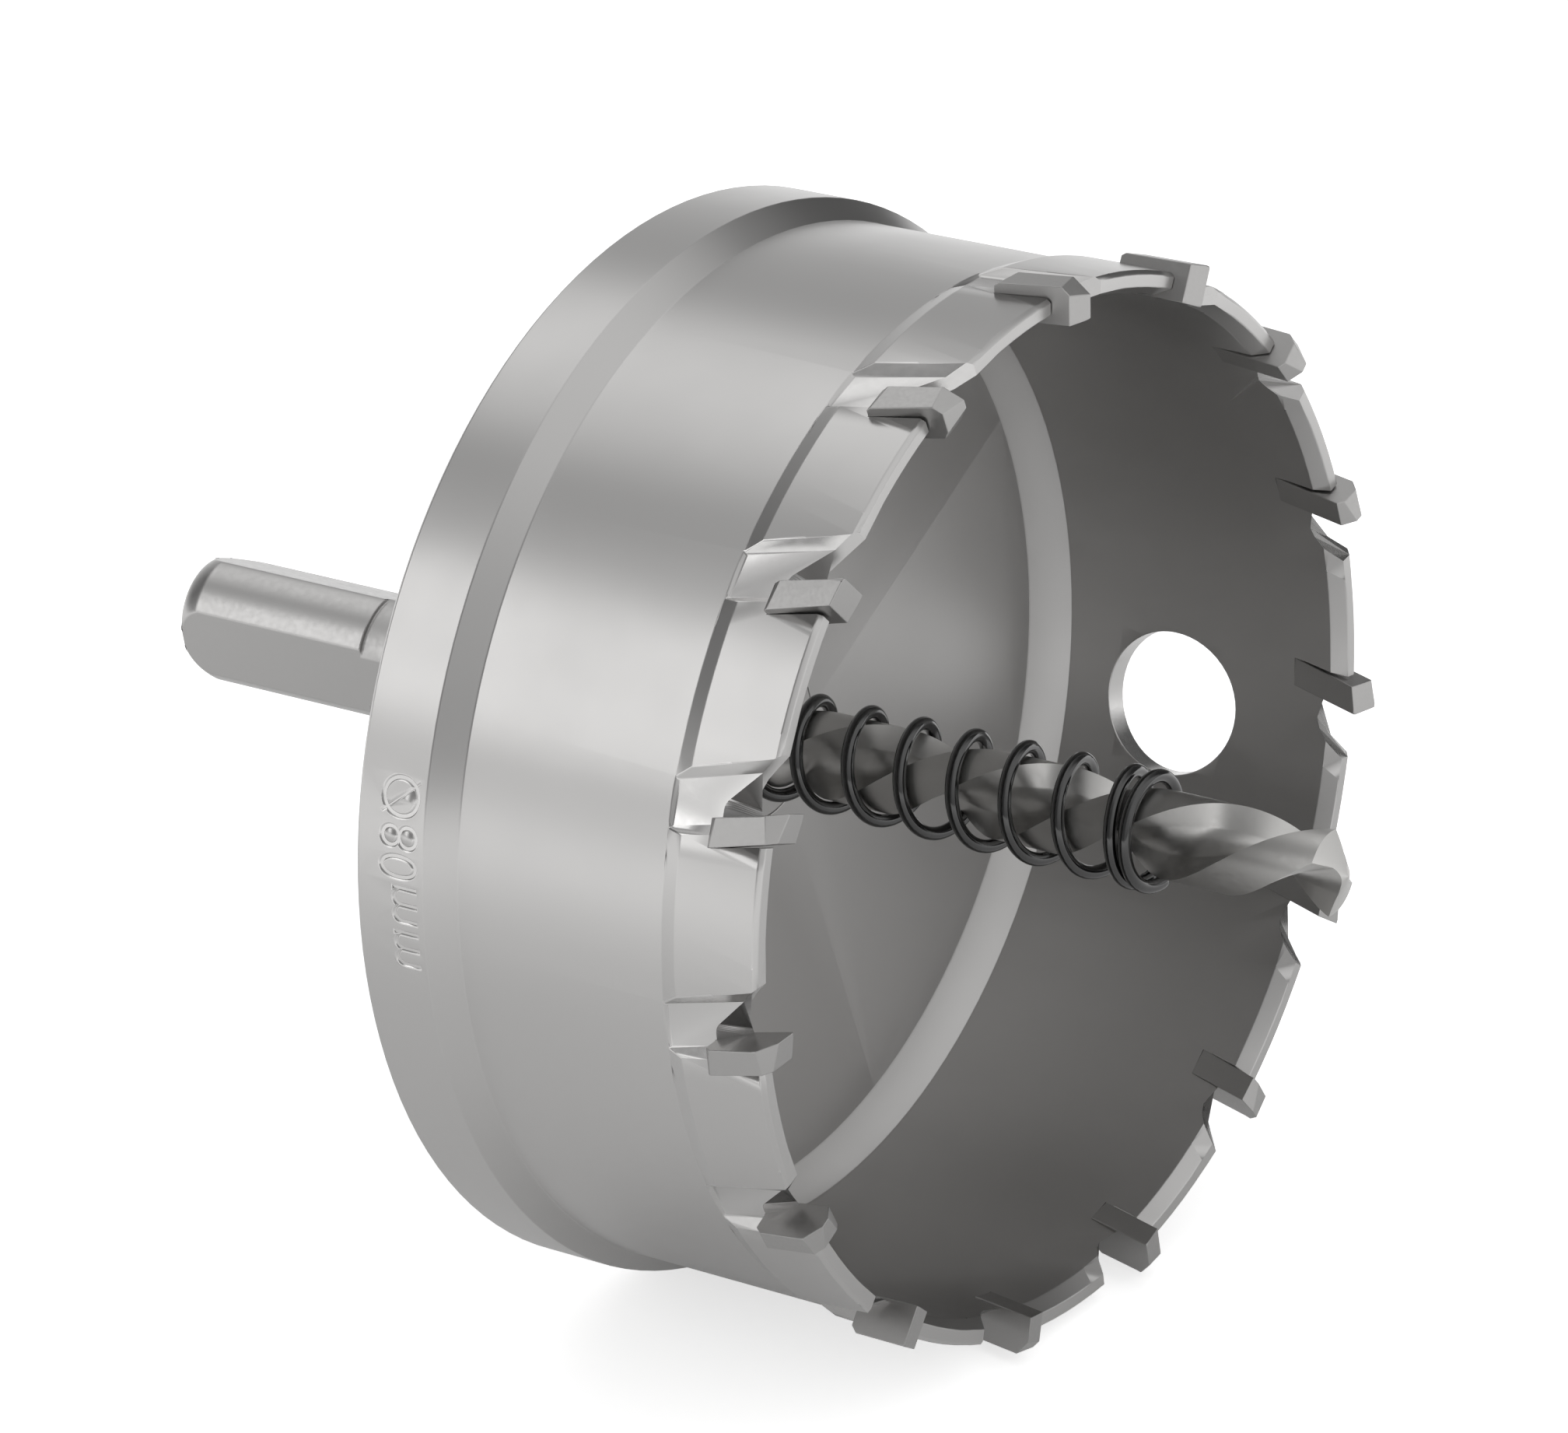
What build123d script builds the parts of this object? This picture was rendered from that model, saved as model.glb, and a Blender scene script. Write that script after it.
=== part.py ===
from build123d import *
from math import cos, hypot, radians, sin, tan
import os

# A hole saw with brazed carbide tips, lying on its side with its teeth towards +X.
# Lengths are millimetres. "Along" is measured from the flange's back face towards the teeth,
# and angles are measured round the axis, seen from the teeth, from the direction angle_zero.

# Cutter body, from the circle that the tips cut inwards
cutting_diameter = 80.0
tip_side_clearance = 1.0  # how far the tips stand out past the ring that carries them
ring_rise = 0.5  # how far the ring stands out from the wall
flange_lip = 1.4  # how far the flange stands out from the wall
flange_thickness = 6.0
shoulder_length = 2.0  # cone from the flange down to the wall
wall_at_mouth = 1.3
wall_at_root = 2.2
root_cone = 1.3  # how far the inside narrows from the root to the floor
floor_along = 6.9  # inside face of the cup's bottom
root_along = 9.9  # where the thick root of the wall ends
rim_along = 33.6
rim_inside_chamfer = 0.6
rim_inside_chamfer_length = 1.2
rim_outside_chamfer = 0.3
edge_break = 0.4

# Toothed ring
ring_start = 25.4  # the wall starts to rise to the ring here
ring_full = 26.8
tooth_count = 15
rake_angle_of_first = 11.9  # degrees, where the rake face of tip 1 meets the rim
tip_lean = 12.0  # degrees, forward lean of each tip into the cut
gullet_depth = 4.1
gullet_radius = 1.1
gullet_flat = 1.1  # level stretch between the rake face and the arc
gullet_exit_slope = 40.0  # degrees from the axis
pocket_depth = 0.75  # shallow pocket in the ring's outside, round each gullet
pocket_start = 25.6
pocket_lead = 0.95  # its floor's width at its start, ahead of the rake face's place at the rim
pocket_lead_lean = 17.0  # degrees, how its leading side leans away
pocket_trail = 2.2  # the same behind it, where the side leans as the tips do
pocket_side_slope = 45.0

# Carbide tips
tip_inside_clearance = 1.0  # how far they stand in past the bore's mouth
tip_thickness = 2.06
tip_seat_along = 29.4
tip_front = 35.9
square_tip_front = 35.4
tip_relief = 14.0  # degrees, the front face falls back behind its edge
tip_side_relief = 8.0  # degrees, the outer face falls in behind its edge
tip_heel_radius = 0.7
outer_bevel = 1.5
outer_bevel_drop = 1.7
inner_bevel = 1.4
inner_bevel_drop = 1.0
hone = 0.15  # small bevel on every edge that isn't ground back
braze_gap = 0.03

# Hole through the wall for pushing out slugs
wall_hole_diameter = 11.0
wall_hole_along = 19.0
wall_hole_angle = 8.1

# Shank
shank_diameter = 10.0
shank_length = 44.5
shank_flat_depth = 0.81
shank_flat_count = 3
first_flat_angle = 90.0
shank_chamfer = 0.8
shank_chamfer_length = 2.0
neck_relief = 0.3  # the neck is this much smaller all round, and the flats run on across it
neck_length = 26.9
hub_diameter = 16.0
hub_length = 7.0
hub_chamfer = 0.6
flat_to_hub = 2.0
hub_shoulder = 2.0  # face of the hub that the cup is seated on
press_gap = 0.03

# Pilot drill
drill_diameter = 6.35
drill_reach = 56.6  # its point, from the flange's back face
drill_depth = 22.0  # its back end, behind the flange's back face
drill_gap = 0.03
drill_end_gap = 0.2
point_angle = 135.0
flute_lead = 29.0
flute_cut_radius = 2.1
drill_web = 1.1
flute_start = 8.6
lip_angle = 116.7
drill_end_chamfer = 0.5

# Ejector spring
spring_wire = 1.0
spring_gap = 0.275  # between the coil and the drill
spring_pitch = 4.53
spring_turns = 7.05
spring_start_angle = 163.0
end_coil_pitch = 1.2
end_coil_turns = 1.33
spring_seat_gap = 0.03
wire_sides = 8  # the round wire is drawn with eight sides, which keeps its mesh light

# Grub screw in the hub
screw_diameter = 4.0
screw_length = 4.0
screw_socket = 2.0  # across flats
screw_socket_depth = 1.8
screw_point_radius = 1.1
screw_point_length = 0.6
screw_gap = 0.03
screw_angle = 90.0

# The two lowest tips stand level with each other, so that the saw lies steady on them
tooth_pitch = 360 / tooth_count
low_gap_angle = 289.4
angle_zero = low_gap_angle + 90 - 360  # what points along +Y

cutting_radius = cutting_diameter / 2
ring_radius = cutting_radius - tip_side_clearance
body_radius = ring_radius - ring_rise
saw_radius = body_radius + flange_lip
back = Vector((shank_length - drill_reach) / 2, 0, saw_radius)
forward = Vector(1, 0, 0)
saw_axis = Axis(back, forward)
lathe = Plane(origin=back, x_dir=forward, z_dir=(0, -1, 0))


def outward(angle):
    turn = radians(angle - angle_zero)
    return Vector(0, cos(turn), sin(turn))


def along_plane(along, angle=0):
    """A plane across the axis, facing the teeth, with its X at the given angle."""
    return Plane(origin=back + forward * along, x_dir=outward(angle), z_dir=forward)


def side_view(angle, radius):
    """A plane at a radius, seen from outside: X runs round the saw and Y towards the teeth."""
    out = outward(angle)
    return Plane(origin=back + out * radius, x_dir=forward.cross(out), z_dir=out)


def radial_view(angle):
    """A plane through the axis: X runs outwards and Y towards the teeth."""
    out = outward(angle)
    return Plane(origin=back, x_dir=out, z_dir=out.cross(forward))


rake_angles = [rake_angle_of_first + tooth_pitch * number for number in range(tooth_count)]
lean = tan(radians(tip_lean))
thickness_round = tip_thickness / cos(radians(tip_lean))
cut_margin = 2.0  # how far a cut runs on past what it cuts
past_rim = tip_front + cut_margin


def rake_line(along):
    """How far round the rake face lies at a place along the axis."""
    return (rim_along - along) * lean


def wound(frame, pitch, rise, radius, lefthand=False):
    """A helix that starts on the frame's X and climbs along its Z, and the plane across its start."""
    path = frame.from_local_coords(Helix(pitch, rise, radius, lefthand=lefthand, mode=Mode.PRIVATE))
    return path, Plane(origin=path @ 0, x_dir=frame.x_dir, z_dir=path % 0)


# Cutter body
bore_mouth_radius = body_radius - wall_at_mouth
bore_root_radius = body_radius - wall_at_root
floor_edge_radius = bore_root_radius - root_cone
pocket_floor_radius = ring_radius - pocket_depth
hub_radius = hub_diameter / 2
spigot_radius = hub_radius - hub_shoulder
with BuildPart() as cutter_body:
    with BuildSketch(lathe):
        with BuildLine():
            Polyline(
                (0, spigot_radius + press_gap),
                (0, saw_radius - edge_break),
                (edge_break, saw_radius),
                (flange_thickness, saw_radius),
                (flange_thickness + shoulder_length, body_radius),
                (ring_start, body_radius),
                (ring_full, ring_radius),
                (rim_along - rim_outside_chamfer, ring_radius),
                (rim_along, ring_radius - rim_outside_chamfer),
                (rim_along, bore_mouth_radius + rim_inside_chamfer),
                (rim_along - rim_inside_chamfer_length, bore_mouth_radius),
                (root_along, bore_root_radius),
                (floor_along, floor_edge_radius),
                (floor_along, spigot_radius + press_gap),
                close=True,
            )
        make_face()
    revolve(axis=saw_axis)

    # shallow pocket round each gullet, in the outside of the ring
    pocket_length = past_rim - pocket_start
    lead_lean = tan(radians(pocket_lead_lean))
    with BuildSketch(*[side_view(angle, pocket_floor_radius) for angle in rake_angles]):
        with BuildLine():
            Polyline(
                (pocket_trail, pocket_start),
                (pocket_trail - pocket_length * lean, past_rim),
                (-pocket_lead - pocket_length * lead_lean, past_rim),
                (-pocket_lead, pocket_start),
                close=True,
            )
        make_face()
    extrude(amount=saw_radius - pocket_floor_radius, taper=-pocket_side_slope, mode=Mode.SUBTRACT)

    # gullet and tip seat, cut right through the wall: the gullet leaves its arc up a slope
    slope = radians(gullet_exit_slope)
    gullet_bottom = rim_along - gullet_depth
    arc_end = Vector(rake_line(gullet_bottom) - gullet_flat, gullet_bottom)
    arc_centre = arc_end + Vector(0, gullet_radius)
    to_slope = Vector(cos(slope), sin(slope)) * gullet_radius
    arc_start = arc_centre - to_slope
    arc_middle = arc_centre - to_slope.rotate(Axis.Z, (90 - gullet_exit_slope) / 2)
    exit_past_rim = arc_start.X - (past_rim - arc_start.Y) * tan(slope)
    seat_width = thickness_round + braze_gap
    seat_bottom = tip_seat_along - braze_gap
    with BuildSketch(*[side_view(angle, bore_root_radius - cut_margin) for angle in rake_angles]):
        with BuildLine():
            Polyline(
                arc_end,
                (rake_line(gullet_bottom), gullet_bottom),
                (rake_line(seat_bottom), seat_bottom),
                (rake_line(seat_bottom) + seat_width, seat_bottom),
                (rake_line(past_rim) + seat_width, past_rim),
                (exit_past_rim, past_rim),
                arc_start,
            )
            ThreePointArc(arc_start, arc_middle, arc_end)
        make_face()
    extrude(amount=saw_radius - bore_root_radius + 2 * cut_margin, mode=Mode.SUBTRACT)

    # slug hole
    hole_view = side_view(wall_hole_angle, floor_edge_radius)
    with BuildSketch(hole_view):
        with Locations((0, wall_hole_along)):
            Circle(wall_hole_diameter / 2)
    extrude(amount=saw_radius - floor_edge_radius, mode=Mode.SUBTRACT)

# Shank, hub and spigot in one piece
shank_radius = shank_diameter / 2
neck_radius = shank_radius - neck_relief
end_radius = shank_radius - shank_chamfer
dome_offset = (shank_radius**2 - end_radius**2 - shank_chamfer_length**2) / (2 * shank_chamfer_length)
drill_radius = drill_diameter / 2
bore_radius = drill_radius + drill_gap
screw_radius = screw_diameter / 2
with BuildPart() as shank:
    with BuildSketch(lathe):
        with BuildLine():
            # the end is turned to a shallow dome, whose centre lies on the axis
            dome_start = (-shank_length, end_radius)
            dome_end = (shank_chamfer_length - shank_length, shank_radius)
            RadiusArc(dome_start, dome_end, radius=hypot(dome_offset, shank_radius))
            Polyline(
                dome_end,
                (-neck_length, shank_radius),
                (-neck_length, neck_radius),
                (-hub_length, neck_radius),
                (-hub_length, hub_radius - hub_chamfer),
                (hub_chamfer - hub_length, hub_radius),
                (0, hub_radius),
                (0, spigot_radius),
                (floor_along, spigot_radius),
                (floor_along, bore_radius),
                (-drill_depth - drill_end_gap, bore_radius),
                (-drill_depth - drill_end_gap, 0),
                (-shank_length, 0),
                dome_start,
            )
        make_face()
    revolve(axis=saw_axis)

    # flats for the chuck jaws
    flats_end = -hub_length - flat_to_hub
    with BuildSketch(along_plane(-shank_length, first_flat_angle)):
        with PolarLocations(shank_radius - shank_flat_depth, shank_flat_count):
            Rectangle(shank_radius, shank_diameter, align=(Align.MIN, Align.CENTER))
    extrude(amount=shank_length + flats_end, mode=Mode.SUBTRACT)

    # tapped hole for the grub screw
    with BuildSketch(side_view(screw_angle, 0)):
        with Locations((0, -hub_length / 2)):
            Circle(screw_radius + screw_gap)
    extrude(amount=hub_radius, mode=Mode.SUBTRACT)

# Pilot drill: a round bar with two flutes wound round it
point_length = drill_radius / tan(radians(point_angle / 2))
flute_centre = drill_web / 2 + flute_cut_radius
flute_turns = (drill_reach + point_length - flute_start) / flute_lead
with BuildPart() as pilot_drill:
    with BuildSketch(lathe):
        with BuildLine():
            Polyline(
                (-drill_depth, 0),
                (-drill_depth, drill_radius - drill_end_chamfer),
                (drill_end_chamfer - drill_depth, drill_radius),
                (drill_reach - point_length, drill_radius),
                (drill_reach, 0),
                close=True,
            )
        make_face()
    revolve(axis=saw_axis)
    start_angle = lip_angle + 360 * flute_turns - 90
    for side in (0, 180):
        flute_frame = along_plane(flute_start, start_angle + side)
        flute_rise = flute_turns * flute_lead
        flute_path, flute_head = wound(flute_frame, flute_lead, flute_rise, flute_centre, lefthand=True)
        with BuildSketch(flute_head):
            Circle(flute_cut_radius)
        sweep(path=flute_path, is_frenet=True, mode=Mode.SUBTRACT)

# Ejector spring: open turns, then a closed end coil
wire_radius = spring_wire / 2
coil_radius = drill_radius + spring_gap + wire_radius
spring_start = floor_along + wire_radius + spring_seat_gap
spring_rise = spring_pitch * spring_turns
end_start_angle = spring_start_angle + 360 * spring_turns
end_coil_start = spring_start + spring_rise
end_coil_rise = end_coil_pitch * end_coil_turns
open_coils, wire_head = wound(
    along_plane(spring_start, spring_start_angle), spring_pitch, spring_rise, coil_radius
)
end_coil, _ = wound(
    along_plane(end_coil_start, end_start_angle), end_coil_pitch, end_coil_rise, coil_radius
)
with BuildPart() as ejector_spring:
    with BuildSketch(wire_head):
        RegularPolygon(wire_radius, wire_sides)
    sweep(path=Wire([open_coils.edge(), end_coil.edge()]), is_frenet=True)

# Grub screw
screw_seat = bore_radius + screw_gap
with BuildPart() as drill_set_screw:
    screw_view = side_view(screw_angle, screw_seat)
    screw_line = Plane(
        origin=screw_view.from_local_coords((0, -hub_length / 2, 0)),
        x_dir=screw_view.x_dir,
        z_dir=screw_view.z_dir,
    )
    with BuildSketch(screw_line):
        Circle(screw_point_radius)
    with BuildSketch(screw_line.offset(screw_point_length)):
        Circle(screw_radius)
    loft()
    with BuildSketch(screw_line.offset(screw_point_length)):
        Circle(screw_radius)
    extrude(amount=screw_length - screw_point_length)
    with BuildSketch(screw_line.offset(screw_length)):
        RegularPolygon(screw_socket / 2, 6, major_radius=False)
    extrude(amount=-screw_socket_depth, mode=Mode.SUBTRACT)

# How the front of each tip is ground, in order round the saw
square_grind = (square_tip_front, hone, hone, hone, hone)
bevel_grind = (tip_front, outer_bevel, outer_bevel_drop, hone, hone)
peak_grind = (tip_front, outer_bevel, outer_bevel_drop, inner_bevel, inner_bevel_drop)
grinds = [
    square_grind, peak_grind, peak_grind, square_grind, bevel_grind,
    peak_grind, square_grind, bevel_grind, bevel_grind, peak_grind,
    square_grind, bevel_grind, bevel_grind, peak_grind, square_grind,
]


os.makedirs("parts", exist_ok=True)
for piece, name in (
    (cutter_body, "cutter_body"),
    (shank, "shank"),
    (pilot_drill, "pilot_drill"),
    (ejector_spring, "ejector_spring"),
    (drill_set_screw, "drill_set_screw"),
):
    piece.part.label = name
    export_step(piece.part, f"parts/{name}.step")

# Carbide tips: the side view gives the lean and the relief, and the view along the cut the grind
tip_inner_radius = bore_mouth_radius - tip_inside_clearance
relief_drop = thickness_round * tan(radians(tip_relief))
for number, angle in enumerate(rake_angles):
    front, outer, outer_drop, inner, inner_drop = grinds[number % len(grinds)]
    with BuildPart() as carbide_tip:
        with BuildSketch(side_view(angle, tip_inner_radius)):
            with BuildLine():
                Polyline(
                    (rake_line(tip_seat_along), tip_seat_along),
                    (rake_line(front), front),
                    (rake_line(front) + thickness_round, front - relief_drop),
                    (rake_line(tip_seat_along) + thickness_round, tip_seat_along),
                    close=True,
                )
            make_face()
        extrude(amount=cutting_radius - tip_inner_radius)
        with BuildSketch(radial_view(angle)):
            with BuildLine():
                Polyline(
                    (tip_inner_radius, tip_seat_along),
                    (tip_inner_radius, front - inner_drop),
                    (tip_inner_radius + inner, front),
                    (cutting_radius - outer, front),
                    (cutting_radius, front - outer_drop),
                    (cutting_radius, tip_seat_along + tip_heel_radius),
                    (cutting_radius - tip_heel_radius, tip_seat_along),
                    close=True,
                )
            make_face()
        extrude(amount=2 * tip_thickness, both=True, mode=Mode.INTERSECT)
        edge_view = side_view(angle, cutting_radius)
        edge_line = edge_view.y_dir - edge_view.x_dir * lean
        side_turn = radians(tip_side_relief)
        side_face = edge_view.z_dir * cos(side_turn) + edge_view.x_dir * sin(side_turn)
        edge_start = edge_view.from_local_coords((0, rim_along, 0))
        split(bisect_by=Plane(origin=edge_start, x_dir=edge_line, z_dir=side_face), keep=Keep.BOTTOM)
    carbide_tip.part.label = f"carbide_tip_{number + 1:02d}"
    export_step(carbide_tip.part, f"parts/{carbide_tip.part.label}.step")
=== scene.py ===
from math import cos, pi, radians, sin, tan

import bmesh
import bpy
import numpy as np
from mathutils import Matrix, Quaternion, Vector


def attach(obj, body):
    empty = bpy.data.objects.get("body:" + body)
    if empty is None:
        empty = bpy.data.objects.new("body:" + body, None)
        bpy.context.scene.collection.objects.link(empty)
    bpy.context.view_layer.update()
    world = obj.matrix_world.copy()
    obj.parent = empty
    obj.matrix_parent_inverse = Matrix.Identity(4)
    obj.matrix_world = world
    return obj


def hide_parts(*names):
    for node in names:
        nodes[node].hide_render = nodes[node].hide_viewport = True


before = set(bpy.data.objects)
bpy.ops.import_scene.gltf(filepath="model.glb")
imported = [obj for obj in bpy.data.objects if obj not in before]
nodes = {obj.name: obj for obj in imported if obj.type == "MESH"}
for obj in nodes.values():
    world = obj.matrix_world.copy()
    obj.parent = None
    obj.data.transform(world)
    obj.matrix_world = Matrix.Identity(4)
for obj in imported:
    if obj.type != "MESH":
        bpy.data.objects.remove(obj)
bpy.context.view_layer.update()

mm = 0.001

# The saw lies along X. "Along" is measured from the flange's back face, and angles are seen
# from the teeth, as in the part itself.
saw = {
    "axisHeight": 39.9 * mm,
    "backFace": -6.05 * mm,
    "angleZero": 19.4,
    "flangeRadius": 39.9 * mm,
    "rakeAngleOfFirst": 11.9,
    "toothCount": 15,
}


# A colour written as sRGB hex, as linear red, green, blue and alpha
def hexToLinear(code):
    parts = np.array([int(code[place:place + 2], 16) for place in (1, 3, 5)]) / 255
    linear = np.where(parts <= 0.04045, parts / 12.92, ((parts + 0.055) / 1.055) ** 2.4)
    return (*linear.tolist(), 1.0)


# A node with its settings; inputs holds plain values and the sockets that link to it
def addNode(tree, kind, inputs=None, **settings):
    node = tree.nodes.new(kind)
    for name, value in settings.items():
        setattr(node, name, value)
    for name, value in (inputs or {}).items():
        if isinstance(value, bpy.types.NodeSocket):
            tree.links.new(value, node.inputs[name])
        else:
            node.inputs[name].default_value = value
    return node


def newMaterial(name):
    material = bpy.data.materials.new(name)
    material.use_nodes = True
    material.node_tree.nodes.clear()
    return material, material.node_tree


# Places along the saw, angles round it in degrees and radii of points
def unpolar(points):
    out = points[:, 1:] - np.array([0, saw["axisHeight"]])
    angle = np.degrees(np.arctan2(out[:, 1], out[:, 0])) + saw["angleZero"]
    return points[:, 0] - saw["backFace"], angle, np.linalg.norm(out, axis=1)


# Points from places along the saw, angles round it in degrees, and radii
def polar(along, angle, radius):
    turn = np.radians(angle - saw["angleZero"])
    return np.stack(
        np.broadcast_arrays(
            saw["backFace"] + along, radius * np.cos(turn), saw["axisHeight"] + radius * np.sin(turn)
        ),
        axis=-1,
    )


# A share from 0 to 1 that starts and ends gently
def eased(share):
    return share * share * (3 - 2 * share)


# A mesh from a grid of points, rows along and columns round, with its two ends closed by caps
def gridPiece(name, points):
    rows, columns = points.shape[:2]
    index = np.arange(rows * columns).reshape(rows, columns)
    right = np.roll(index, -1, axis=1)
    faces = np.stack([index[:-1], right[:-1], right[1:], index[1:]], axis=-1).reshape(-1, 4).tolist()
    faces += [index[0][::-1].tolist(), index[-1].tolist()]
    mesh = bpy.data.meshes.new(name)
    mesh.from_pydata(points.reshape(-1, 3).tolist(), [], faces)
    mesh.shade_smooth()
    piece = bpy.data.objects.new(name, mesh)
    bpy.context.collection.objects.link(piece)
    return piece


joinedWithin = 0.0005 * mm


# Joins points that meet and turns every face outwards
def outwardFaces(piece):
    shape = bmesh.new()
    shape.from_mesh(piece.data)
    bmesh.ops.remove_doubles(shape, verts=shape.verts, dist=joinedWithin)
    bmesh.ops.recalc_face_normals(shape, faces=shape.faces)
    shape.to_mesh(piece.data)
    shape.free()


softening = {
    "mergedWithin": 0.002 * mm,
    "flatWithin": 0.3,  # degrees between faces that are made one
    "sharpFrom": 20,  # degrees between faces
    "steps": 2,
    "normalWeight": 100,
}


# A merged copy of a CAD node with its sharp edges rounded, as stoning and handling leave them.
# Reshape can move its corners first, and says which of them keep sharp edges. An engraving is cut
# out of it afterwards and goes.
def softenedCopy(name, nodeName, edge, sharpFrom=softening["sharpFrom"], engraving=None, reshape=None):
    mesh = nodes[nodeName].data.copy()
    mesh.name = name
    mesh.materials.clear()
    shape = bmesh.new()
    shape.from_mesh(mesh)
    bmesh.ops.remove_doubles(shape, verts=shape.verts, dist=softening["mergedWithin"])
    flat = radians(softening["flatWithin"])
    bmesh.ops.dissolve_limit(shape, angle_limit=flat, verts=shape.verts, edges=shape.edges)
    unrounded = set()
    if reshape:
        places, kept = reshape(np.array([corner.co for corner in shape.verts]))
        for corner, moved in zip(shape.verts, places):
            corner.co = moved
        unrounded = set(np.flatnonzero(kept).tolist())
        shape.normal_update()
    sharp = [
        line for line in shape.edges
        if len(line.link_faces) == 2 and line.calc_face_angle() > radians(sharpFrom)
    ]
    for line in sharp:
        line.smooth = unrounded.isdisjoint(corner.index for corner in line.verts)
    sharp = [line for line in sharp if line.smooth]
    bmesh.ops.bevel(
        shape, geom=sharp, offset=edge, offset_type="OFFSET", segments=softening["steps"],
        profile=0.5, affect="EDGES", clamp_overlap=False,
    )
    for face in shape.faces:
        face.smooth = True
    shape.to_mesh(mesh)
    shape.free()
    piece = bpy.data.objects.new(name, mesh)
    bpy.context.collection.objects.link(piece)
    if engraving:
        cut = piece.modifiers.new("engraving", "BOOLEAN")
        cut.operation, cut.solver, cut.object = "DIFFERENCE", "EXACT", engraving
        cut.material_mode, cut.use_self = "INDEX", True
        shown = piece.evaluated_get(bpy.context.evaluated_depsgraph_get())
        piece.data = bpy.data.meshes.new_from_object(shown)
        piece.modifiers.clear()
        bpy.data.objects.remove(engraving)
    weighted = piece.modifiers.new("flatFacesStayFlat", "WEIGHTED_NORMAL")
    weighted.mode = "FACE_AREA"
    weighted.weight = softening["normalWeight"]
    weighted.keep_sharp = True
    return piece


# Rides the saw's one body and stands in for its CAD nodes
def place(piece, slot, *replaced):
    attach(piece, "root")
    if replaced:
        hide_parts(*replaced)
    return piece


print("studio")
studio = {
    "lensLength": 184.354,
    "sensorWidth": 36.0,
    "cameraAzimuth": 35.82,
    "cameraElevation": 22.07,
    "cameraRoll": -2.12,
    "cameraDistance": 586.591 * mm,
    "lookAt": (1.39 * mm, 1.693 * mm, 41.279 * mm),
    "floorColour": "#F4F4F4",
    "floorSize": 4.0,
    "floorGlow": 0.62,
    # the floor's glow mirrored in the steel: painted shade near the saw, full further off
    "mirroredGlowWithPaintedShade": (0.12, 0.65),
    # distances from the saw over which that painted shade fades out
    "paintedShadeReach": (0.08, 0.3),
    "keyPlace": (-0.95, -1.15, 0.75),
    "keySize": 0.8,
    "keyStrength": 2.4,
}


# The photograph's viewpoint, on a circle round the saw, rolled about its line of sight
def addCamera():
    camera = bpy.data.objects.new("camera", bpy.data.cameras.new("camera"))
    bpy.context.collection.objects.link(camera)
    around, up = radians(studio["cameraAzimuth"]), radians(studio["cameraElevation"])
    back = Vector((sin(around) * cos(up), -cos(around) * cos(up), sin(up)))
    camera.location = Vector(studio["lookAt"]) + back * studio["cameraDistance"]
    camera.rotation_mode = "QUATERNION"
    level = (-back).to_track_quat("-Z", "Y")
    camera.rotation_quaternion = Quaternion(-back, -radians(studio["cameraRoll"])) @ level
    camera.data.lens = studio["lensLength"]
    camera.data.sensor_width = studio["sensorWidth"]
    camera.data.clip_start, camera.data.clip_end = 0.01, 20
    bpy.context.scene.camera = camera


# What the steel mirrors, as brightness round the saw's axis: 0 is level in front, 0.25 overhead,
# 0.5 level behind. The first row lies straight past the shank's end, the next obliquely that
# way, then to the saw's side, and the last straight past the teeth. "turns" is where each takes
# over from the one before, as how far along the axis a direction points.
mirrored = {
    "pastShank": {"levels": (
        (0.0, 0.55), (0.06, 0.35), (0.11, 0.2), (0.2, 0.17), (0.28, 0.17), (0.34, 0.3), (0.4, 0.62),
        (0.46, 0.8), (0.55, 0.8))},
    "shankSide": {"turns": (-0.78, -0.64), "levels": (
        (0.0, 1.15), (0.05, 1.1), (0.09, 0.62), (0.12, 0.95), (0.16, 0.87), (0.2, 0.56), (0.24, 1.2),
        (0.28, 1.45), (0.32, 1.3), (0.36, 0.5), (0.42, 0.62), (0.48, 1.0), (0.55, 1.05))},
    "teethSide": {"turns": (-0.5, -0.28), "levels": (
        (0.0, 0.34), (0.06, 0.3), (0.12, 0.33), (0.17, 0.48), (0.21, 0.78), (0.26, 0.98), (0.3, 0.98),
        (0.35, 0.68), (0.39, 0.3), (0.44, 0.11), (0.52, 0.1), (0.6, 0.1))},
    "pastTeeth": {"turns": (0.35, 0.6), "levels": (
        (0.0, 0.6), (0.1, 0.8), (0.2, 1.05), (0.3, 1.05), (0.42, 0.95), (0.5, 0.8), (0.6, 0.6))},
}


comesRound = 0.999  # where each row is back at its first level


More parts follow.
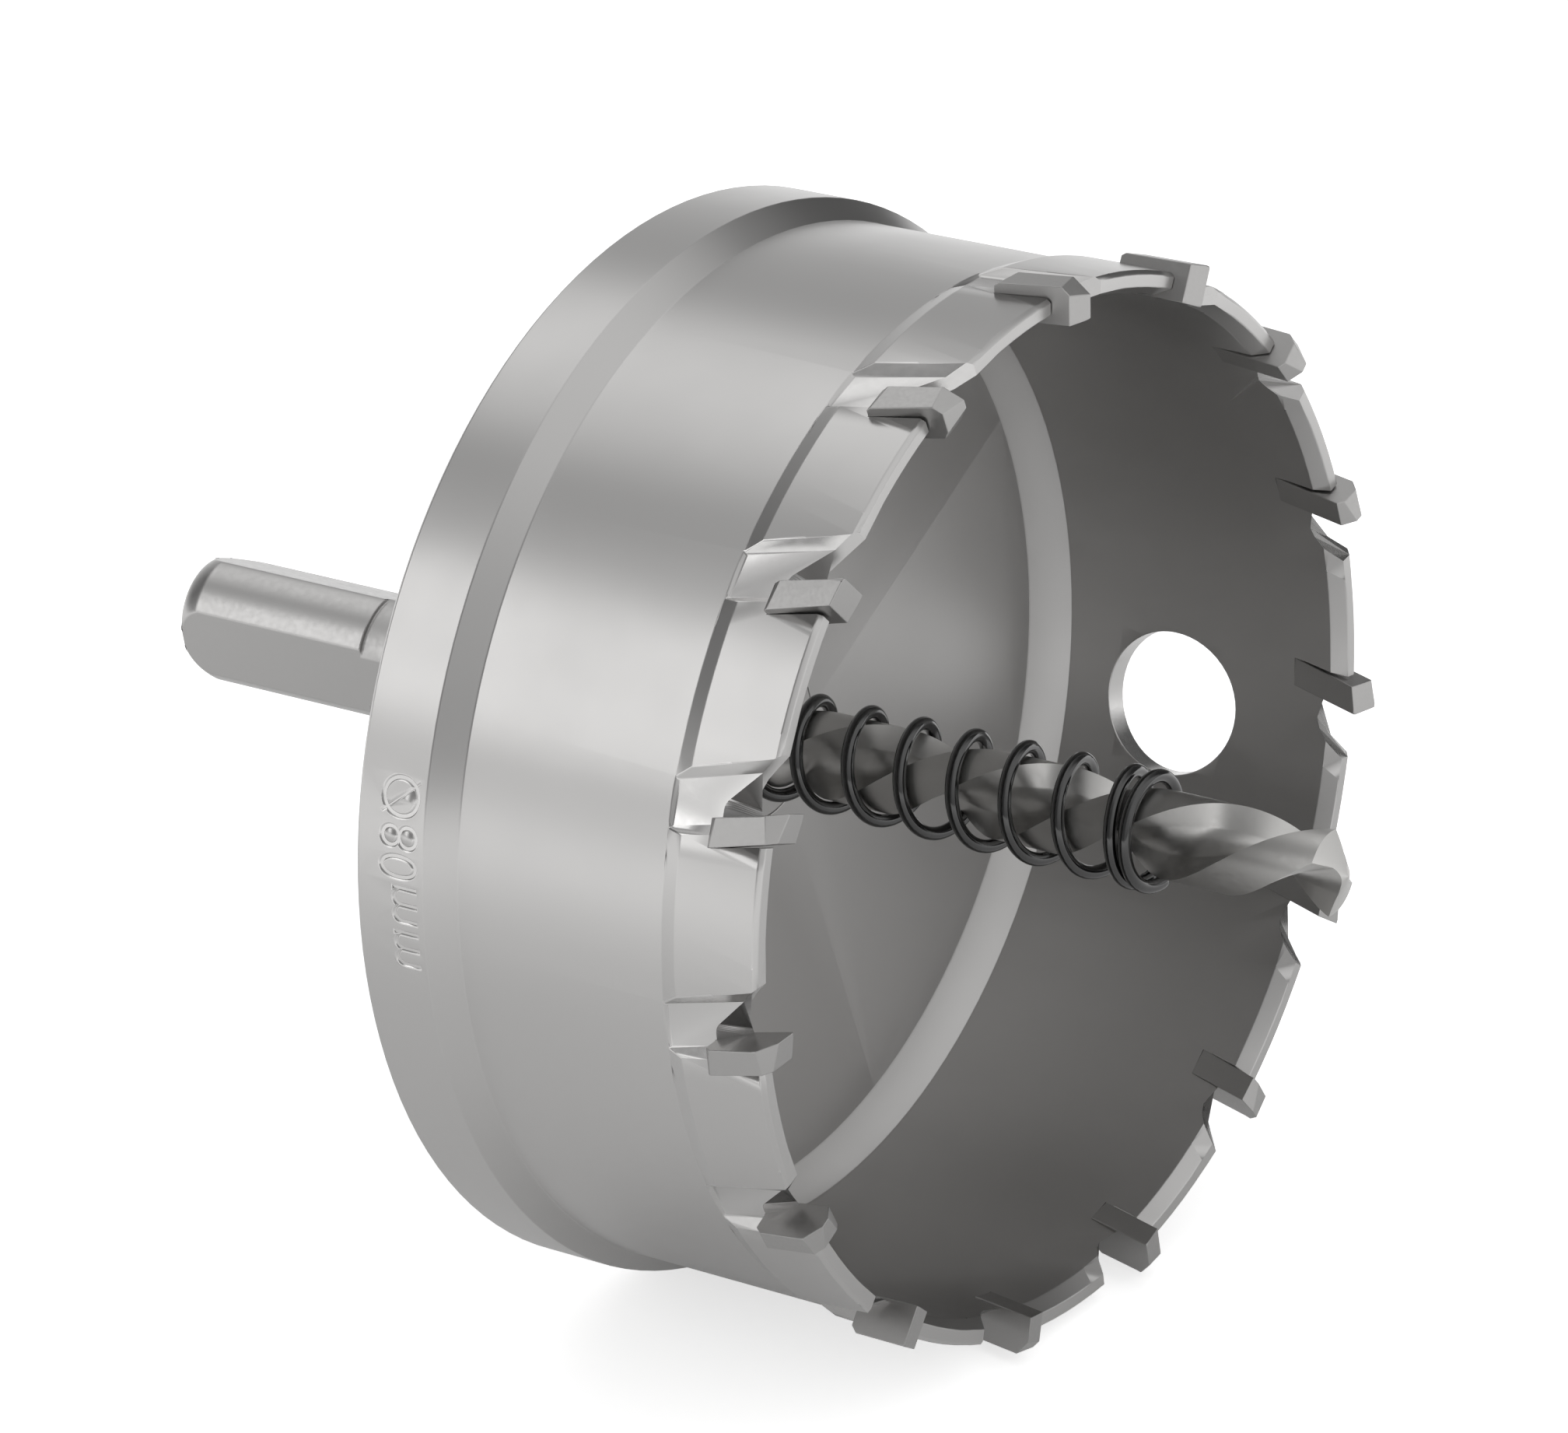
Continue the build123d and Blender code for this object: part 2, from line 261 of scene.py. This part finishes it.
# The studio's light from every side; what the camera sees of it is white
def addWorld():
    world = bpy.data.worlds.new("studio")
    bpy.context.scene.world = world
    world.use_nodes = True
    tree = world.node_tree
    tree.nodes.clear()
    direction = addNode(tree, "ShaderNodeTexCoord").outputs["Generated"]
    axes = addNode(tree, "ShaderNodeSeparateXYZ", {"Vector": direction})
    front = addNode(tree, "ShaderNodeMath", {0: axes.outputs["Y"], 1: -1.0}, operation="MULTIPLY")
    turn = addNode(
        tree, "ShaderNodeMath", {0: axes.outputs["Z"], 1: front.outputs[0]}, operation="ARCTAN2"
    )
    turns = addNode(tree, "ShaderNodeMath", {0: turn.outputs[0], 1: 2 * pi}, operation="DIVIDE")
    wrapped = addNode(tree, "ShaderNodeMath", {0: turns.outputs[0]}, operation="FRACT")
    level = None
    for row in mirrored.values():
        ramp = addNode(tree, "ShaderNodeValToRGB", {"Fac": wrapped.outputs[0]})
        ramp.color_ramp.interpolation = "EASE"
        stops = ramp.color_ramp.elements
        stops.remove(stops[-1])
        first = row["levels"][0][1]
        for number, (where, bright) in enumerate(row["levels"] + ((comesRound, first),)):
            stop = stops[0] if number == 0 else stops.new(where)
            stop.position = where
            stop.color = (bright, bright, bright, 1)
        colour = ramp.outputs["Color"]
        if level is None:
            level = colour
            continue
        before, after = row["turns"]
        share = addNode(
            tree, "ShaderNodeMapRange",
            {"Value": axes.outputs["X"], "From Min": before, "From Max": after},
            interpolation_type="SMOOTHSTEP",
        )
        joined = addNode(
            tree, "ShaderNodeMix", {0: share.outputs["Result"], 6: level, 7: colour}, data_type="RGBA"
        )
        level = joined.outputs[2]
    path = addNode(tree, "ShaderNodeLightPath")
    lit = addNode(tree, "ShaderNodeBackground", {"Color": level, "Strength": 1.0})
    white = addNode(tree, "ShaderNodeBackground", {"Strength": 1.0})
    white.inputs["Color"].default_value = (1, 1, 1, 1)
    seen = addNode(
        tree, "ShaderNodeMixShader",
        {0: path.outputs["Is Camera Ray"], 1: lit.outputs[0], 2: white.outputs[0]},
    )
    addNode(tree, "ShaderNodeOutputWorld", {"Surface": seen.outputs[0]})


# A pale sweep under a soft shadow: its own light keeps it white for the camera. In the steel its glow
# is dimmed near the saw as painted shade, standing in for the saw's shadow, and brightens with distance.
def addFloor():
    half = studio["floorSize"] / 2
    mesh = bpy.data.meshes.new("floor")
    corners = [(-half, -half, 0), (half, -half, 0), (half, half, 0), (-half, half, 0)]
    mesh.from_pydata(corners, [], [(0, 1, 2, 3)])
    floor = bpy.data.objects.new("floor", mesh)
    bpy.context.collection.objects.link(floor)
    material, tree = newMaterial("paleFloor")
    paper = addNode(tree, "ShaderNodeBsdfDiffuse", {"Color": hexToLinear(studio["floorColour"])})
    path = addNode(tree, "ShaderNodeLightPath")
    seen = addNode(
        tree, "ShaderNodeMath",
        {0: path.outputs["Is Camera Ray"], 1: path.outputs["Is Transmission Ray"]},
        operation="MAXIMUM",
    )
    direct = addNode(
        tree, "ShaderNodeMath", {0: seen.outputs[0], 1: studio["floorGlow"]}, operation="MULTIPLY"
    )
    coords = addNode(tree, "ShaderNodeTexCoord")
    away = addNode(tree, "ShaderNodeVectorMath", {0: coords.outputs["Object"]}, operation="LENGTH")
    # painted shade: the glow the steel mirrors is dimmer near the saw and grows with distance
    near, far = studio["paintedShadeReach"]
    dark, bright = studio["mirroredGlowWithPaintedShade"]
    paintedShadeGlow = addNode(
        tree, "ShaderNodeMapRange",
        {"Value": away.outputs["Value"], "From Min": near, "From Max": far, "To Min": dark,
         "To Max": bright},
    )
    strength = addNode(
        tree, "ShaderNodeMath",
        {0: path.outputs["Is Glossy Ray"], 1: paintedShadeGlow.outputs["Result"], 2: direct.outputs[0]},
        operation="MULTIPLY_ADD",
    )
    glow = addNode(tree, "ShaderNodeEmission", {"Strength": strength.outputs[0]})
    both = addNode(tree, "ShaderNodeAddShader", {0: paper.outputs[0], 1: glow.outputs[0]})
    addNode(tree, "ShaderNodeOutputMaterial", {"Surface": both.outputs[0]})
    mesh.materials.append(material)


# A square softbox aimed at the middle of the saw
def addLamp(name, size, strength, position):
    lamp = bpy.data.lights.new(name, "AREA")
    lamp.size = size
    lamp.energy = strength
    holder = bpy.data.objects.new(name, lamp)
    bpy.context.collection.objects.link(holder)
    holder.location = position
    aim = Vector(studio["lookAt"]) - Vector(position)
    holder.rotation_mode = "QUATERNION"
    holder.rotation_quaternion = aim.to_track_quat("-Z", "Y")


bpy.context.scene.view_settings.view_transform = "Standard"
addCamera()
addWorld()
addFloor()
addLamp("keySoftbox", studio["keySize"], studio["keyStrength"], studio["keyPlace"])

print("materials")
# Between these lies nearly all of a noise texture
noiseSpan = {"From Min": 0.3, "From Max": 0.7}


# U runs round the saw's axis in turns and V along its profile in metres, face by face
def turnedUv(mesh):
    count = len(mesh.loops)
    corner = np.empty(count, dtype=np.int64)
    mesh.loops.foreach_get("vertex_index", corner)
    points = np.empty(len(mesh.vertices) * 3)
    mesh.vertices.foreach_get("co", points)
    points = points.reshape(-1, 3)[corner]
    turn = np.arctan2(points[:, 2] - saw["axisHeight"], points[:, 1]) / (2 * pi)
    radius = np.hypot(points[:, 2] - saw["axisHeight"], points[:, 1])
    starts = np.array([face.loop_start for face in mesh.polygons])
    totals = np.array([face.loop_total for face in mesh.polygons])
    faceOf = np.repeat(np.arange(len(starts)), totals)
    first = turn[starts][faceOf]
    turn = turn - np.round(turn - first)
    layer = mesh.uv_layers.new(name="round")
    layer.data.foreach_set("uv", np.stack([turn, points[:, 0] - radius], axis=-1).ravel())


# Free-cutting steel off the lathe: satin, its fine grooves run round it and draw highlights out
# across them. Handling leaves it slightly cloudy. The cup's floor is faced more coarsely than the
# outside is turned. Its root is a hollow form: "lean" is how far its surface leans to the mouth
# at its two edges, so that a cone shades as a hollow one.
turned = {
    "colour": "#B9B8B7",
    "roughness": 0.31,
    "facedRoughness": 0.42,
    "rootRoughness": 0.4,
    "root": {"along": (6.9 * mm, 9.9 * mm), "lean": (1.3, 0.5)},
    "roughnessSpread": 0.02,
    "anisotropy": 0.45,
    "grooveSpacing": 0.3 * mm,  # really about 0.1 mm, drawn coarser so that it shows
    "grooveDepth": 0.001 * mm,
    "cloudSize": 11.0 * mm,
}


def turnedSteel(name, roughness, hollow=None):
    material, tree = newMaterial(name)
    uv = addNode(tree, "ShaderNodeUVMap", uv_map="round")
    parts = addNode(tree, "ShaderNodeSeparateXYZ", {"Vector": uv.outputs["UV"]})
    grooves = addNode(
        tree, "ShaderNodeTexNoise",
        {"W": parts.outputs["Y"], "Scale": 1 / turned["grooveSpacing"], "Detail": 2.0},
        noise_dimensions="1D",
    )
    place3d = addNode(tree, "ShaderNodeTexCoord")
    clouds = addNode(
        tree, "ShaderNodeTexNoise",
        {"Vector": place3d.outputs["Object"], "Scale": 1 / turned["cloudSize"], "Detail": 4.0},
    )
    rough = addNode(
        tree, "ShaderNodeMapRange",
        {"Value": clouds.outputs["Fac"], **noiseSpan,
         "To Min": roughness - turned["roughnessSpread"],
         "To Max": roughness + turned["roughnessSpread"]},
    )
    bump = addNode(
        tree, "ShaderNodeBump", {"Height": grooves.outputs["Fac"], "Distance": turned["grooveDepth"]}
    )
    if hollow:
        ends = [saw["backFace"] + place for place in hollow["along"]]
        floorwards, wallwards = hollow["lean"]
        parts3d = addNode(tree, "ShaderNodeSeparateXYZ", {"Vector": place3d.outputs["Object"]})
        lean = addNode(
            tree, "ShaderNodeMapRange",
            {"Value": parts3d.outputs["X"], "From Min": ends[0], "From Max": ends[1],
             "To Min": floorwards, "To Max": wallwards},
        )
        mouthwards = addNode(tree, "ShaderNodeCombineXYZ", {"X": lean.outputs["Result"]})
        flat = addNode(tree, "ShaderNodeNewGeometry")
        leant = addNode(
            tree, "ShaderNodeVectorMath",
            {0: flat.outputs["Normal"], 1: mouthwards.outputs["Vector"]}, operation="ADD",
        )
        even = addNode(
            tree, "ShaderNodeVectorMath", {0: leant.outputs["Vector"]}, operation="NORMALIZE"
        )
        tree.links.new(even.outputs["Vector"], bump.inputs["Normal"])
    tangent = addNode(tree, "ShaderNodeTangent", direction_type="UV_MAP", uv_map="round")
    steel = addNode(
        tree, "ShaderNodeBsdfPrincipled",
        {"Base Color": hexToLinear(turned["colour"]), "Metallic": 1.0,
         "Roughness": rough.outputs["Result"], "Anisotropic": turned["anisotropy"],
         "Anisotropic Rotation": 0.25, "Normal": bump.outputs["Normal"],
         "Tangent": tangent.outputs["Tangent"]},
    )
    addNode(tree, "ShaderNodeOutputMaterial", {"Surface": steel.outputs[0]})
    return material


outsideSteel = turnedSteel("turnedSteel", turned["roughness"])
facedSteel = turnedSteel("facedSteel", turned["facedRoughness"])
rootSteel = turnedSteel("turnedRootSteel", turned["rootRoughness"], turned["root"])


grainSpread = (0.9, 1.12)  # how far the grain varies the roughness


# A metal with a fine even grain: grain is its size and depth how deep it is
def grainyMetal(name, colour, roughness, grain, depth):
    material, tree = newMaterial(name)
    coords = addNode(tree, "ShaderNodeTexCoord")
    fine = addNode(
        tree, "ShaderNodeTexNoise",
        {"Vector": coords.outputs["Object"], "Scale": 1 / grain, "Detail": 3.0},
    )
    rough = addNode(
        tree, "ShaderNodeMapRange",
        {"Value": fine.outputs["Fac"], **noiseSpan,
         "To Min": roughness * grainSpread[0], "To Max": roughness * grainSpread[1]},
    )
    bump = addNode(tree, "ShaderNodeBump", {"Height": fine.outputs["Fac"], "Distance": depth})
    metal = addNode(
        tree, "ShaderNodeBsdfPrincipled",
        {"Base Color": hexToLinear(colour), "Metallic": 1.0, "Roughness": rough.outputs["Result"],
         "Normal": bump.outputs["Normal"]},
    )
    addNode(tree, "ShaderNodeOutputMaterial", {"Surface": metal.outputs[0]})
    return material


# Milled pocket and gullet faces: the same steel, brighter and without the lathe's grooves
milledSteel = grainyMetal("milledSteel", "#C4C3C2", 0.24, 0.5 * mm, 0.002 * mm)
# Turned neck of the shank: a coarser satin than its ground end
neckSteel = grainyMetal("turnedNeckSteel", "#B6B5B4", 0.42, 0.5 * mm, 0.001 * mm)
# Ground shank steel: smooth, with a fine grain
groundSteel = grainyMetal("groundShankSteel", "#B0AFAE", 0.32, 0.5 * mm, 0.001 * mm)
# Ground high-speed steel of the drill: bright with a slightly warm grey
highSpeedSteel = grainyMetal("groundHighSpeedSteel", "#C2C1BF", 0.33, 0.4 * mm, 0.0003 * mm)
# Ground tungsten carbide: denser grey than steel, fine grained, satin
carbide = grainyMetal("groundTungstenCarbide", "#A9A8A7", 0.36, 0.25 * mm, 0.0006 * mm)


oxide = {
    "filmIor": 1.75,  # oxide and the oil on it
    "patchSize": 0.7 * mm,
    "roughnessSpread": (0.8, 1.25),
}


# Steel blackened in an oxide bath and oiled: nearly black with narrow bright highlights
def blackOxide(name, colour, roughness):
    material, tree = newMaterial(name)
    coords = addNode(tree, "ShaderNodeTexCoord")
    fine = addNode(
        tree, "ShaderNodeTexNoise", {"Vector": coords.outputs["Object"], "Scale": 1 / oxide["patchSize"]}
    )
    low, high = oxide["roughnessSpread"]
    rough = addNode(
        tree, "ShaderNodeMapRange",
        {"Value": fine.outputs["Fac"], "To Min": roughness * low, "To Max": roughness * high},
    )
    film = addNode(
        tree, "ShaderNodeBsdfPrincipled",
        {"Base Color": hexToLinear(colour), "Metallic": 0.0, "Roughness": rough.outputs["Result"],
         "IOR": oxide["filmIor"]},
    )
    addNode(tree, "ShaderNodeOutputMaterial", {"Surface": film.outputs[0]})
    return material


springBlack = blackOxide("oxideBlackSpringWire", "#0B0B0B", 0.12)
screwBlack = blackOxide("oxideBlackScrew", "#1C1C1C", 0.4)

print("size mark")
# The diameter, engraved in the flange's outside. It reads backwards, as in the mirrored photograph.
sizeMark = {
    "words": "\u00d880mm",
    "letterSize": 4.9 * mm,
    "angles": (184.1, 204.6),
    "baseline": 5.55 * mm,
    "top": 2.05 * mm,
    "depth": 0.16 * mm,
    "thinner": -0.1 * mm,
}


# The letters as blocks with sloping sides, bent round the flange: their height on the page runs
# along the saw and their length round it, and their thick middle stands at its surface.
def sizeMarkBlock():
    words = bpy.data.curves.new("sizeMark", "FONT")
    words.body = sizeMark["words"]
    words.size = sizeMark["letterSize"]
    words.offset = sizeMark["thinner"]
    words.extrude = words.bevel_depth = sizeMark["depth"]
    words.bevel_resolution = 0
    page = bpy.data.objects.new("sizeMarkPage", words)
    bpy.context.collection.objects.link(page)
    bpy.context.view_layer.update()
    mesh = bpy.data.meshes.new_from_object(page.evaluated_get(bpy.context.evaluated_depsgraph_get()))
    bpy.data.objects.remove(page)
    points = np.empty(len(mesh.vertices) * 3)
    mesh.vertices.foreach_get("co", points)
    across, up, through = points.reshape(-1, 3).T
    first, last = sizeMark["angles"]
    angle = first + (across - across.min()) / np.ptp(across) * (last - first)
    rise = sizeMark["baseline"] - sizeMark["top"]
    along = sizeMark["baseline"] - (up - up.min()) / np.ptp(up) * rise
    radius = saw["flangeRadius"] + sizeMark["depth"] - through
    mesh.vertices.foreach_set("co", polar(along, angle, radius).ravel())
    block = bpy.data.objects.new("sizeMarkBlock", mesh)
    bpy.context.collection.objects.link(block)
    outwardFaces(block)
    for face in mesh.polygons:
        face.material_index = 1
    return block


print("cutter body")
cutter = {
    "edge": 0.09 * mm,
    "sharpFrom": 12,
    "ringStart": 25.35 * mm,
    "rim": 33.3 * mm,
    "pocketRadii": (38.2 * mm, 38.47 * mm),
    "holeRadii": (36.7 * mm, 38.4 * mm),
    "wallRadii": (37.25 * mm, 38.2 * mm),
    "facing": 0.9,  # how straight a face looks one way
    "aside": 0.5,  # and how far off it
    "roundwards": 0.05,
    "rootLean": 0.2,
    "floorWithin": 0.1 * mm,
    "pocketFloor": 38.25 * mm,
    "wall": 1.05 * mm,
    "ringRadius": 39.05 * mm,  # with a little room
    "pitchShareBefore": 0.75,  # what lies before a rake face, of the pitch
    "gulletBottom": 29.5 * mm,
    "slopeX": -1.07 * mm,
    "slopeAlong": 29.9 * mm,
    "gulletSlope": 40.0,
    "rakeX": 0.87 * mm,
    "shiftFadesOver": 1.1 * mm,
    "onSlope": 0.3 * mm,
    "floorReach": (-1.27 * mm, 1.0 * mm),
    "floorDepth": 0.15 * mm,
    "seatReach": (0.8 * mm, 3.3 * mm),
    "seatDepth": 0.2 * mm,
    # at these places in mm along the saw, how far the outer and inner edges move, in mm
    "gulletShift": ((29.5, 30.3, 31.0, 31.9, 32.4, 33.2), (0.6, 0.6, 0.5, 0.3, 0.2, 0),
                    (1.0, 1.0, 0.9, 0.6, 0.27, 0.1)),
    "innerBottom": 31.5 * mm,
    "innerLowest": -1.2 * mm,
    "innerRise": 0.3,
    "boreTaper": 0.038,
}


# The gullets' floors slant: the cutter leaves them shallower inside the cup. Both edges of
# their exit slopes move towards the tips and the inner ends of their floors are raised. X is how
# far round from its tip's rake face a corner lies. The seats' corners keep sharp edges too.
def slantGullets(points):
    along, angle, radius = unpolar(points)
    pitch = 360 / saw["toothCount"]
    before = pitch * cutter["pitchShareBefore"]
    beside = (angle - saw["rakeAngleOfFirst"] + before) % pitch - before
    x = np.radians(beside) * radius
    inside = np.clip((cutter["pocketFloor"] - radius) / cutter["wall"], 0, 1)
    bottom, slopeX, slopeAlong = (cutter[key] for key in ("gulletBottom", "slopeX", "slopeAlong"))
    slope = slopeX - (along - slopeAlong) * tan(radians(cutter["gulletSlope"]))
    onSlope = (along > slopeAlong) & (np.abs(x - slope) < cutter["onSlope"])
    first, last = cutter["floorReach"]
    onFloor = (along <= slopeAlong) & (along > bottom - cutter["floorDepth"]) & (x > first) & (x < last)
    edge = (onSlope | onFloor) & (radius < cutter["ringRadius"])
    rungs, outer, inner = (np.array(row) * mm for row in cutter["gulletShift"])
    shift = np.interp(along, rungs, outer) * (1 - inside) + np.interp(along, rungs, inner) * inside
    fade = np.clip((cutter["rakeX"] - x) / cutter["shiftFadesOver"], 0, 1)
    shift = np.where(edge, shift * fade, 0)
    raised = cutter["innerBottom"] + cutter["innerRise"] * np.abs(x + shift - cutter["innerLowest"])
    lift = np.where(edge & (inside > 0.5), np.maximum(raised - np.maximum(along, bottom), 0), 0)
    first, last = cutter["seatReach"]
    seat = (np.abs(along - bottom) < cutter["seatDepth"]) & (x > first) & (x < last)
    taper = cutter["boreTaper"]
    places = polar(along + lift, angle + np.degrees(shift / radius), radius + lift * taper)
    return places, edge | seat


# Each face's place and what made it. Those that the lathe didn't make get the milled finish: they
# look round the saw, or are the pockets' floors, the gullets or the inside of the hole. The
# cup's floor and its root have finishes of their own.
def markFinishes(mesh):
    count = len(mesh.polygons)
    centre, normal = np.empty(count * 3), np.empty(count * 3)
    mesh.polygons.foreach_get("center", centre)
    mesh.polygons.foreach_get("normal", normal)
    centre, normal = centre.reshape(-1, 3), normal.reshape(-1, 3)
    out = centre[:, 1:] - np.array([0, saw["axisHeight"]])
    radius = np.linalg.norm(out, axis=1)
    out = out / radius[:, None]
    outwards = (normal[:, 1:] * out).sum(axis=1)
    around = normal[:, 2] * out[:, 0] - normal[:, 1] * out[:, 1]
    along = centre[:, 0] - saw["backFace"]
    facing, aside = cutter["facing"], cutter["aside"]
    inRing = (along > cutter["ringStart"]) & (along < cutter["rim"])
    low, high = cutter["pocketRadii"]
    milled = (np.abs(around) > cutter["roundwards"]) & (along > cutter["ringStart"])
    milled |= inRing & (outwards > facing) & (radius > low) & (radius < high)
    low, high = cutter["holeRadii"]
    milled |= (along < cutter["ringStart"]) & (np.abs(outwards) < aside) & (radius > low) & (radius < high)
    low, high = cutter["wallRadii"]
    milled |= inRing & (outwards > -aside) & (radius > low) & (radius < high)
    start, end = turned["root"]["along"]
    cupFloor = (normal[:, 0] > facing) & (np.abs(along - start) < cutter["floorWithin"])
    atRoot = (outwards < -aside) & (normal[:, 0] > cutter["rootLean"]) & (along > start) & (along < end)
    index = np.empty(count, dtype=np.int32)
    mesh.polygons.foreach_get("material_index", index)
    for number, chosen in ((1, milled), (2, cupFloor), (3, atRoot)):
        index = np.where(chosen, number, index).astype(np.int32)
    mesh.polygons.foreach_set("material_index", index)


cutterBody = softenedCopy(
    "cutterBody", "cutter_body", cutter["edge"], sharpFrom=cutter["sharpFrom"],
    engraving=sizeMarkBlock(), reshape=slantGullets,
)
turnedUv(cutterBody.data)
markFinishes(cutterBody.data)
for finish in (outsideSteel, milledSteel, facedSteel, rootSteel):
    cutterBody.data.materials.append(finish)
place(cutterBody, "turned_steel", "cutter_body")

print("shank")
shank = {"edge": 0.12 * mm, "neckStart": -26.95 * mm}
shankBar = softenedCopy("shankBar", "shank", shank["edge"])
shankBar.data.materials.append(groundSteel)
shankBar.data.materials.append(neckSteel)
for face in shankBar.data.polygons:
    face.material_index = int(face.center.x - saw["backFace"] > shank["neckStart"])
place(shankBar, "shank_steel", "shank")

print("carbide tips")
tips = {
    "edge": 0.07 * mm,
    "outerRadius": 40.0 * mm,
    "widthShare": 0.8,
    "trimmedFrom": 33.6 * mm,
    "lengthShare": 0.68,
}


# The tips as ground back a little: narrower on the inside and shorter ahead of the rim
def trimTip(points):
    along, angle, radius = unpolar(points)
    radius = tips["outerRadius"] - (tips["outerRadius"] - radius) * tips["widthShare"]
    ahead = np.maximum(along - tips["trimmedFrom"], 0)
    places = polar(along - ahead * (1 - tips["lengthShare"]), angle, radius)
    return places, np.zeros(len(points), dtype=bool)


for number in range(saw["toothCount"]):
    node = f"carbide_tip_{number + 1:02d}"
    tip = softenedCopy(f"carbideTip{number + 1:02d}", node, tips["edge"], reshape=trimTip)
    tip.data.materials.append(carbide)
    place(tip, "tungsten_carbide", node)

print("grub screw")
screw = {"edge": 0.08 * mm}
grubScrew = softenedCopy("grubScrew", "drill_set_screw", screw["edge"])
grubScrew.data.materials.append(screwBlack)
place(grubScrew, "black_screw_steel", "drill_set_screw")

print("ejector spring")
spring = {
    "wireRadius": 0.5 * mm,
    "rootCoilRadius": 3.74 * mm,
    "endCoilRadius": 3.97 * mm,
    "start": 7.43 * mm,
    "startAngle": 163.0,
    "pitch": 4.53 * mm,
    "turns": 7.05,
    "endPitch": 1.2 * mm,
    "endTurns": 1.33,
    "closingTurns": 0.24,
    "endShrink": 0.8,
    "pointsPerTurn": 72,
    "pointsRoundWire": 20,
}


# A round wire carried along a helix whose pitch closes up over the last turns. Its place along
# the axis is the sum of the pitch over the turns. The wire's circle lies across the helix,
# spanned by the radial direction and its product with the tangent.
def ejectorSpring():
    total = spring["turns"] + spring["endTurns"]
    turns = np.linspace(0, total, int(total * spring["pointsPerTurn"]))
    closing = eased(np.clip((turns - spring["turns"]) / spring["closingTurns"] + 0.5, 0, 1))
    pitch = spring["pitch"] + (spring["endPitch"] - spring["pitch"]) * closing
    step = np.diff(turns, prepend=turns[0])
    along = spring["start"] + np.cumsum(pitch * step)
    coil = spring["rootCoilRadius"] + (spring["endCoilRadius"] - spring["rootCoilRadius"]) * turns / total
    angle = spring["startAngle"] + 360 * turns
    centre = polar(along, angle, coil)
    radial = polar(0, angle, 1) - polar(0, angle, 0)
    tangent = np.gradient(centre, axis=0)
    tangent /= np.linalg.norm(tangent, axis=1, keepdims=True)
    across = np.cross(tangent, radial)
    across /= np.linalg.norm(across, axis=1, keepdims=True)
    turn = np.linspace(0, 2 * pi, spring["pointsRoundWire"], endpoint=False)
    aside, ahead = np.cos(turn)[None, :, None], np.sin(turn)[None, :, None]
    section = aside * radial[:, None] + ahead * across[:, None]
    shrink = np.ones(len(turns))
    shrink[0] = shrink[-1] = spring["endShrink"]
    return centre[:, None] + section * (spring["wireRadius"] * shrink)[:, None, None]


ejectorWire = gridPiece("ejectorSpringWire", ejectorSpring())
outwardFaces(ejectorWire)
ejectorWire.data.materials.append(springBlack)
place(ejectorWire, "black_spring_steel", "ejector_spring")

print("pilot drill")
drill = {
    "radius": 3.175 * mm,
    "reach": 56.6 * mm,
    "back": -22.0 * mm,
    "halfPoint": 67.5,
    "lead": 29.0 * mm,
    "web": 0.55 * mm,
    "fluteStart": 8.6 * mm,
    "fluteRunIn": 3.0 * mm,
    "lipAngle": 116.7,
    "fluteRadial": 2.1 * mm,
    "fluteRound": 2.42 * mm,
    "backEndShare": 0.02,
    "sharpFrom": 35,
    "columns": 216,
    "rowsAlong": 300,
    "rowsOnPoint": 24,
}


# A round bar with two flutes, twisted the left-hand way, and a cone ground on its end. Each column
# of the grid runs along one line of the section: its radius is the bar's, or the near side of
# the flute's ellipse where that is smaller, and its angle turns with the lead. It stops where it
# meets the point's cone and then climbs the cone to the axis.
def pilotDrill():
    turn = np.linspace(0, 360, drill["columns"], endpoint=False)
    offset = np.radians((turn + 90) % 180 - 90)  # from the nearer flute's middle
    middle = drill["web"] + drill["fluteRadial"]
    # near crossing of the ray at this angle with the flute's ellipse
    a = (np.cos(offset) / drill["fluteRadial"]) ** 2 + (np.sin(offset) / drill["fluteRound"]) ** 2
    b = -2 * middle * np.cos(offset) / drill["fluteRadial"] ** 2
    c = (middle / drill["fluteRadial"]) ** 2 - 1
    under = b * b - 4 * a * c
    flute = np.where(under > 0, (-b - np.sqrt(np.maximum(under, 0))) / (2 * a), drill["radius"])
    section = np.minimum(flute, drill["radius"])
    slope = 1 / tan(radians(drill["halfPoint"]))
    share = np.linspace(0, 1, drill["rowsAlong"])[:, None]
    stop = drill["reach"] - section * slope
    along = drill["back"] + (stop - drill["back"]) * share
    cut = eased(np.clip((along - drill["fluteStart"]) / drill["fluteRunIn"], 0, 1))
    radius = drill["radius"] + (section - drill["radius"]) * cut
    inward = np.linspace(1, 0, drill["rowsOnPoint"])[1:, None]
    pointRadius = section * inward
    pointAlong = drill["reach"] - pointRadius * slope
    along = np.concatenate([along, pointAlong])
    radius = np.concatenate([radius, pointRadius])
    fluteAngle = drill["lipAngle"] - 90 + 360 * (drill["reach"] - along) / drill["lead"]
    return polar(along, fluteAngle + turn, radius)


drillPoints = pilotDrill()
backEnd = drillPoints[:1].copy()
backEnd[..., 1] *= drill["backEndShare"]
backEnd[..., 2] = saw["axisHeight"] + (backEnd[..., 2] - saw["axisHeight"]) * drill["backEndShare"]
twistDrill = gridPiece("twistDrill", np.concatenate([backEnd, drillPoints]))
outwardFaces(twistDrill)
twistDrill.data.set_sharp_from_angle(angle=radians(drill["sharpFrom"]))
twistDrill.data.materials.append(highSpeedSteel)
place(twistDrill, "high_speed_steel", "pilot_drill")
